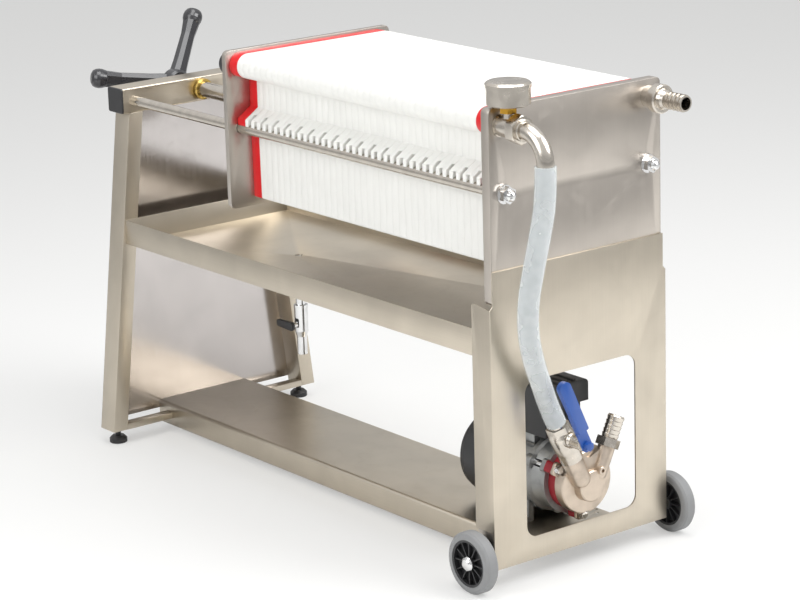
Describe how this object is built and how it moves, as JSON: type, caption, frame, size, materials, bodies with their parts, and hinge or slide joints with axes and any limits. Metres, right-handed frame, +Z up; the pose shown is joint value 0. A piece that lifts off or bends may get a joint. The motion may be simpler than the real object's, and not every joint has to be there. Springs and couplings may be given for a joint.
{
  "type": "plate filter press",
  "caption": "Wheeled stainless plate filter press: white recessed plates on two rods, hand screw, drip tray, pump with hose, pressure gauge and outlet tail.",
  "frame": {"origin": "on the floor under the middle of the machine, without its hose", "axes": "+Z up, +X from the hand screw towards the pump end, +Y to the right seen from the screw, the outlet side"},
  "size_m": [1.2918, 0.454, 0.8055],
  "materials": {
    "stainless_sheet": "brushed stainless sheet",
    "stainless_polished": "bright drawn stainless",
    "stainless_plate": "satin stainless plate",
    "white_plastic": "moulded food-grade polypropylene",
    "red_plastic": "moulded red polypropylene",
    "black_plastic": "moulded black plastic",
    "black_enamel": "satin black",
    "grey_plastic": "moulded grey plastic",
    "grey_rubber": "non-marking grey rubber",
    "chrome": "polished",
    "brass": "machined",
    "zinc_yellow": "machined bronze",
    "cast_stainless": "cast and machined",
    "red_seal": "moulded rubber ring",
    "cast_aluminium": "die cast",
    "blue_vinyl": "dipped vinyl sleeve",
    "clear_hose": "clear hose with a braided yarn layer"
  },
  "bodies": {
    "frame": {"front_stand": "stainless_sheet", "head_plate": "stainless_plate", "tie_rods": "stainless_polished", "dome_nuts": "chrome", "leg_left": "stainless_sheet", "leg_right": "stainless_sheet", "cross_tube": "stainless_sheet", "cross_tube_caps": "black_plastic", "back_panel": "stainless_sheet", "lower_cross_bars": "stainless_sheet", "levelling_feet": "black_plastic", "tray": "stainless_sheet", "shelf": "stainless_sheet", "filter_plates_odd": "white_plastic", "filter_plates_even": "white_plastic", "end_plate_head": "red_plastic", "end_plate_screw": "red_plastic", "spindle_nut": "zinc_yellow", "axles": "stainless_polished", "axle_brackets": "stainless_plate", "inlet_socket": "stainless_polished", "union_nut": "stainless_polished", "elbow": "stainless_polished", "gauge_nipple": "brass", "gauge": "stainless_polished", "outlet_fitting": "stainless_polished", "pump_head": "cast_stainless", "red_ring": "red_seal", "pump_studs": "chrome", "motor_flange": "cast_aluminium", "motor_housing": "cast_aluminium", "fan_cover": "black_plastic", "terminal_box": "black_plastic", "suction_tail": "stainless_polished", "valve_body": "stainless_polished", "delivery_hose": "clear_hose", "drain_valve": "chrome"},
    "pressure_plate": {"pressure_plate": "stainless_plate", "thrust_cup": "stainless_plate", "channel_plugs": "grey_plastic"},
    "screw": {"spindle": "stainless_polished", "handwheel": "black_enamel"},
    "wheel_left": {"tyre_left": "grey_rubber", "rim_left": "black_plastic", "hub_cap_left": "chrome"},
    "wheel_right": {"tyre_right": "grey_rubber", "rim_right": "black_plastic", "hub_cap_right": "chrome"},
    "valve_lever": {"valve_lever": "blue_vinyl"},
    "drain_lever": {"drain_lever": "black_plastic"}
  },
  "joints": [
    {"name": "press_slide", "type": "slide", "parent": "frame", "child": "pressure_plate", "axis": [-1, 0, 0], "range_m": [0, 0.24]},
    {"name": "screw_turn", "type": "hinge", "parent": "pressure_plate", "child": "screw", "pos_m": [-0.4, 0, 0.6285], "axis": [-1, 0, 0], "range_deg": [0, 14400]},
    {"name": "wheel_left_turn", "type": "hinge", "parent": "frame", "child": "wheel_left", "pos_m": [0.512, -0.209, 0.05], "axis": [0, 1, 0], "continuous": true},
    {"name": "wheel_right_turn", "type": "hinge", "parent": "frame", "child": "wheel_right", "pos_m": [0.512, 0.209, 0.05], "axis": [0, 1, 0], "continuous": true},
    {"name": "valve_turn", "type": "hinge", "parent": "frame", "child": "valve_lever", "pos_m": [0.585, -0.0381, 0.21953], "axis": [-1, 0, 0], "range_deg": [0, 90]},
    {"name": "drain_turn", "type": "hinge", "parent": "frame", "child": "drain_lever", "pos_m": [-0.209, -0.022, 0.245], "axis": [0, -1, 0], "range_deg": [0, 90]}
  ],
  "couplings": [
    {"joint": "press_slide", "follows": "screw_turn", "m_per_rad": 0.000954}
  ]
}
